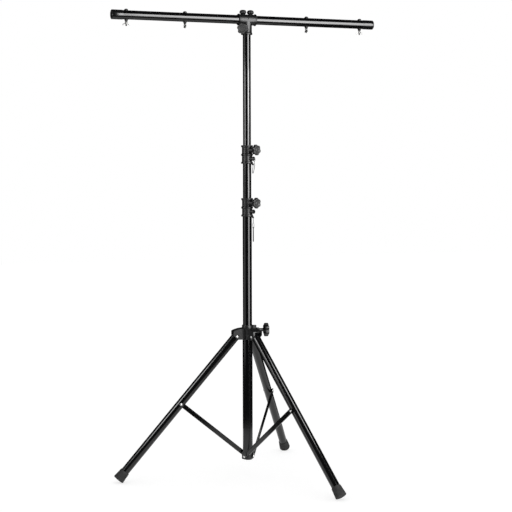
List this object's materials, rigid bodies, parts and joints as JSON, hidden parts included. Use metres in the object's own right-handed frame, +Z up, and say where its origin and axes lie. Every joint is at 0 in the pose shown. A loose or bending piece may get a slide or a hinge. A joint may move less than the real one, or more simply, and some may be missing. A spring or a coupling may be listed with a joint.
{
  "type": "lighting stand",
  "caption": "Folding tripod lighting stand with a telescopic mast, clamping collars and a T-bar that carries lamps on bolts with wing nuts.",
  "frame": {"origin": "centre of the base bracket's underside, on the mast axis, 67 mm above the floor", "axes": "+Z up along the mast, +X along the T-bar towards the end that is on the right in the picture"},
  "size_m": [1.047, 0.8878, 1.7764],
  "materials": {
    "gloss_black_paint": "gloss",
    "satin_black_plastic": "satin",
    "black_rubber": "matte",
    "zinc_plate": "satin",
    "steel_wire": "satin"
  },
  "bodies": {
    "lower_mast": {"base_bracket": "satin_black_plastic", "lower_tube": "gloss_black_paint", "strut_foot_screw_1": "zinc_plate", "strut_foot_screw_2": "zinc_plate", "strut_foot_screw_3": "zinc_plate", "lower_collar": "satin_black_plastic"},
    "lower_knob": {"lower_knob": "satin_black_plastic"},
    "lower_lock_pin": {"lower_lock_pin": "steel_wire", "lower_tether": "steel_wire"},
    "hub": {"hub": "satin_black_plastic", "guide_tube": "gloss_black_paint", "leg_pin_1": "zinc_plate", "leg_pin_2": "zinc_plate", "leg_pin_3": "zinc_plate"},
    "hub_knob": {"hub_knob": "satin_black_plastic"},
    "leg_1": {"leg_tube_1": "gloss_black_paint", "foot_1": "black_rubber", "leg_rivet_1": "zinc_plate"},
    "leg_2": {"leg_tube_2": "gloss_black_paint", "foot_2": "black_rubber", "leg_rivet_2": "zinc_plate"},
    "leg_3": {"leg_tube_3": "gloss_black_paint", "foot_3": "black_rubber", "leg_rivet_3": "zinc_plate"},
    "strut_1": {"strut_1": "gloss_black_paint", "strut_pin_1": "zinc_plate"},
    "strut_2": {"strut_2": "gloss_black_paint", "strut_pin_2": "zinc_plate"},
    "strut_3": {"strut_3": "gloss_black_paint", "strut_pin_3": "zinc_plate"},
    "mid_mast": {"mid_tube": "gloss_black_paint", "upper_collar": "satin_black_plastic", "upper_tether": "steel_wire"},
    "upper_knob": {"upper_knob": "satin_black_plastic"},
    "upper_lock_pin": {"upper_lock_pin": "steel_wire"},
    "top_mast": {"top_tube": "gloss_black_paint"},
    "head": {"t_head": "satin_black_plastic"},
    "head_knob": {"head_knob": "satin_black_plastic"},
    "bar_knob_left": {"bar_knob_left": "satin_black_plastic"},
    "bar_knob_right": {"bar_knob_right": "satin_black_plastic"},
    "bar_left": {"bar_left": "gloss_black_paint", "bar_cap_left": "satin_black_plastic", "lamp_bolt_left_outer": "satin_black_plastic", "lamp_bolt_left_inner": "satin_black_plastic", "bolt_saddle_left_outer": "satin_black_plastic", "bolt_saddle_left_inner": "satin_black_plastic"},
    "bar_right": {"bar_right": "gloss_black_paint", "bar_cap_right": "satin_black_plastic", "lamp_bolt_right_outer": "satin_black_plastic", "lamp_bolt_right_inner": "satin_black_plastic", "bolt_saddle_right_outer": "satin_black_plastic", "bolt_saddle_right_inner": "satin_black_plastic"},
    "wing_nut_left_outer": {"wing_nut_left_outer": "zinc_plate"},
    "wing_nut_left_inner": {"wing_nut_left_inner": "zinc_plate"},
    "wing_nut_right_inner": {"wing_nut_right_inner": "zinc_plate"},
    "wing_nut_right_outer": {"wing_nut_right_outer": "zinc_plate"}
  },
  "joints": [
    {"name": "hub_slide", "type": "slide", "parent": "lower_mast", "child": "hub", "axis": [0, 0, 1], "range_m": [0, 0.1978]},
    {"name": "hub_knob_turn", "type": "hinge", "parent": "hub", "child": "hub_knob", "pos_m": [0, 0, 0.49799], "axis": [0.989, -0.1478, 0], "continuous": true},
    {"name": "leg_1_fold", "type": "hinge", "parent": "hub", "child": "leg_1", "pos_m": [-0.04451, 0.00665, 0.47649], "axis": [-0.1478, -0.989, 0], "range_deg": [0, 40.5]},
    {"name": "leg_2_fold", "type": "hinge", "parent": "hub", "child": "leg_2", "pos_m": [0.01649, -0.04187, 0.47649], "axis": [0.9304, 0.3665, 0], "range_deg": [0, 40.5]},
    {"name": "leg_3_fold", "type": "hinge", "parent": "hub", "child": "leg_3", "pos_m": [0.02801, 0.03522, 0.47649], "axis": [-0.7826, 0.6225, 0], "range_deg": [0, 40.5]},
    {"name": "strut_1_fold", "type": "hinge", "parent": "lower_mast", "child": "strut_1", "pos_m": [-0.00396, 0.00059, 0.012], "axis": [0.1478, 0.989, 0], "range_deg": [0, 43.4]},
    {"name": "strut_2_fold", "type": "hinge", "parent": "lower_mast", "child": "strut_2", "pos_m": [0.00147, -0.00372, 0.012], "axis": [-0.9304, -0.3665, 0], "range_deg": [0, 43.4]},
    {"name": "strut_3_fold", "type": "hinge", "parent": "lower_mast", "child": "strut_3", "pos_m": [0.00249, 0.00313, 0.012], "axis": [0.7826, -0.6225, 0], "range_deg": [0, 43.4]},
    {"name": "lower_knob_turn", "type": "hinge", "parent": "lower_mast", "child": "lower_knob", "pos_m": [0, 0, 0.9838], "axis": [0.4493, -0.8934, 0], "continuous": true},
    {"name": "lower_pin_swing", "type": "hinge", "parent": "lower_mast", "child": "lower_lock_pin", "pos_m": [0.01393, -0.0277, 0.9248], "axis": [-0.8934, -0.4493, 0], "range_deg": [0, 60]},
    {"name": "mid_slide", "type": "slide", "parent": "lower_mast", "child": "mid_mast", "axis": [0, 0, 1], "range_m": [-0.093, 0.7]},
    {"name": "upper_knob_turn", "type": "hinge", "parent": "mid_mast", "child": "upper_knob", "pos_m": [0, 0, 1.1838], "axis": [0.4493, -0.8934, 0], "continuous": true},
    {"name": "upper_pin_pull", "type": "slide", "parent": "mid_mast", "child": "upper_lock_pin", "axis": [0.4493, -0.8934, 0], "range_m": [0, 0.018]},
    {"name": "top_slide", "type": "slide", "parent": "mid_mast", "child": "top_mast", "axis": [0, 0, 1], "range_m": [-0.4105, 0.48]},
    {"name": "head_swivel", "type": "hinge", "parent": "top_mast", "child": "head", "pos_m": [0, 0, 1.6173], "axis": [0, 0, 1], "continuous": true},
    {"name": "head_knob_turn", "type": "hinge", "parent": "head", "child": "head_knob", "pos_m": [0, 0, 1.6356], "axis": [-0.6361, -0.7716, 0], "continuous": true},
    {"name": "bar_knob_left_turn", "type": "hinge", "parent": "head", "child": "bar_knob_left", "pos_m": [-0.015, 0, 1.6941], "axis": [0, 0, 1], "continuous": true},
    {"name": "bar_knob_right_turn", "type": "hinge", "parent": "head", "child": "bar_knob_right", "pos_m": [0.015, 0, 1.6941], "axis": [0, 0, 1], "continuous": true},
    {"name": "bar_left_slide", "type": "slide", "parent": "head", "child": "bar_left", "axis": [-1, 0, 0], "range_m": [0, 0.028]},
    {"name": "bar_right_slide", "type": "slide", "parent": "head", "child": "bar_right", "axis": [1, 0, 0], "range_m": [0, 0.028]},
    {"name": "wing_nut_left_outer_turn", "type": "hinge", "parent": "bar_left", "child": "wing_nut_left_outer", "pos_m": [-0.4675, 0, 1.6457], "axis": [0, 0, 1], "continuous": true},
    {"name": "wing_nut_left_inner_turn", "type": "hinge", "parent": "bar_left", "child": "wing_nut_left_inner", "pos_m": [-0.2435, 0, 1.6457], "axis": [0, 0, 1], "continuous": true},
    {"name": "wing_nut_right_inner_turn", "type": "hinge", "parent": "bar_right", "child": "wing_nut_right_inner", "pos_m": [0.2435, 0, 1.6457], "axis": [0, 0, 1], "continuous": true},
    {"name": "wing_nut_right_outer_turn", "type": "hinge", "parent": "bar_right", "child": "wing_nut_right_outer", "pos_m": [0.4675, 0, 1.6457], "axis": [0, 0, 1], "continuous": true}
  ],
  "couplings": [
    {"joint": "leg_1_fold", "follows": "hub_slide", "rad_per_m": 3.5725},
    {"joint": "leg_2_fold", "follows": "hub_slide", "rad_per_m": 3.5725},
    {"joint": "leg_3_fold", "follows": "hub_slide", "rad_per_m": 3.5725},
    {"joint": "strut_1_fold", "follows": "hub_slide", "rad_per_m": 3.8248},
    {"joint": "strut_2_fold", "follows": "hub_slide", "rad_per_m": 3.8248},
    {"joint": "strut_3_fold", "follows": "hub_slide", "rad_per_m": 3.8248}
  ]
}
